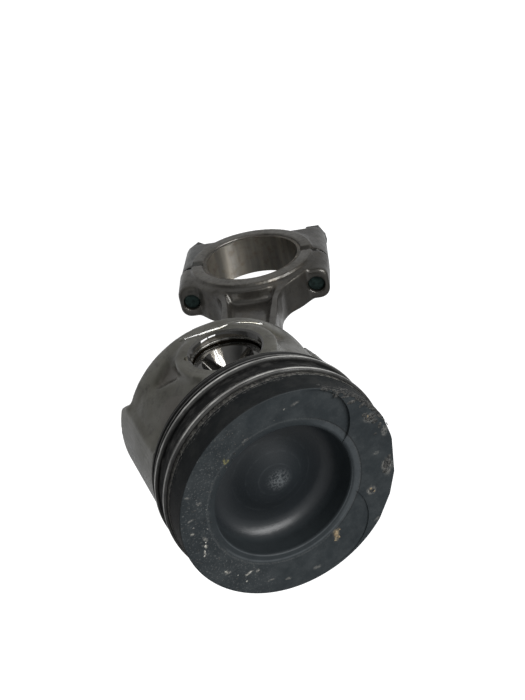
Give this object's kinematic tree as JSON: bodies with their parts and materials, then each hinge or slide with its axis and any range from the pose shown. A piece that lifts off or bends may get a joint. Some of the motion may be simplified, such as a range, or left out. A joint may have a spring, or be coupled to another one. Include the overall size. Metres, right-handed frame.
{
  "type": "piston with connecting rod",
  "caption": "Diesel engine piston with bowl in the crown, sprung rings, hollow gudgeon pin and an I-beam connecting rod with a bolted big-end cap.",
  "frame": {"origin": "centre of the gudgeon pin, on the piston axis", "axes": "+Z along the piston axis towards the crown, +Y along the gudgeon pin; at rest the rod is swung 25.15 degrees towards +X"},
  "size_m": [0.1673, 0.096, 0.2391],
  "materials": {
    "cast_alloy": "oily cast and machined alloy, carbon coated on the crown",
    "carrier_iron": "worn, carbon stained",
    "ring_iron": "bright worn running face, dark flanks",
    "bush_bronze": "oily",
    "pin_steel": "ground, oily",
    "clip_steel": "spring wire, oily",
    "forged_steel": "oily forged steel",
    "shell_metal": "worn bearing metal",
    "bolt_steel": "black phosphated, oily",
    "sleeve_steel": "ground"
  },
  "bodies": {
    "piston": {"piston": "cast_alloy", "ring_carrier": "carrier_iron", "pin_bore_bush_front": "bush_bronze", "pin_bore_bush_rear": "bush_bronze", "circlip_front": "clip_steel", "circlip_rear": "clip_steel"},
    "rod": {"connecting_rod": "forged_steel", "small_end_bush": "bush_bronze", "rod_cap": "forged_steel", "upper_bearing_shell": "shell_metal", "lower_bearing_shell": "shell_metal", "cap_bolt_left": "bolt_steel", "cap_bolt_right": "bolt_steel", "dowel_sleeve_left": "sleeve_steel", "dowel_sleeve_right": "sleeve_steel"},
    "gudgeon_pin": {"gudgeon_pin": "pin_steel"},
    "top_ring": {"top_ring": "ring_iron"},
    "second_ring": {"second_ring": "ring_iron"},
    "oil_ring": {"oil_ring": "ring_iron", "oil_ring_spring": "clip_steel"}
  },
  "joints": [
    {"name": "rod_swing", "type": "hinge", "parent": "piston", "child": "rod", "pos_m": [0, 0, 0], "axis": [0, 1, 0], "range_deg": [-10, 60]},
    {"name": "pin_float", "type": "hinge", "parent": "piston", "child": "gudgeon_pin", "pos_m": [0, 0, 0], "axis": [0, 1, 0], "continuous": true},
    {"name": "top_ring_turn", "type": "hinge", "parent": "piston", "child": "top_ring", "pos_m": [0, 0, 0.03345], "axis": [0, 0, 1], "continuous": true},
    {"name": "second_ring_turn", "type": "hinge", "parent": "piston", "child": "second_ring", "pos_m": [0, 0, 0.02285], "axis": [0, 0, 1], "continuous": true},
    {"name": "oil_ring_turn", "type": "hinge", "parent": "piston", "child": "oil_ring", "pos_m": [0, 0, 0.0184], "axis": [0, 0, 1], "continuous": true}
  ]
}
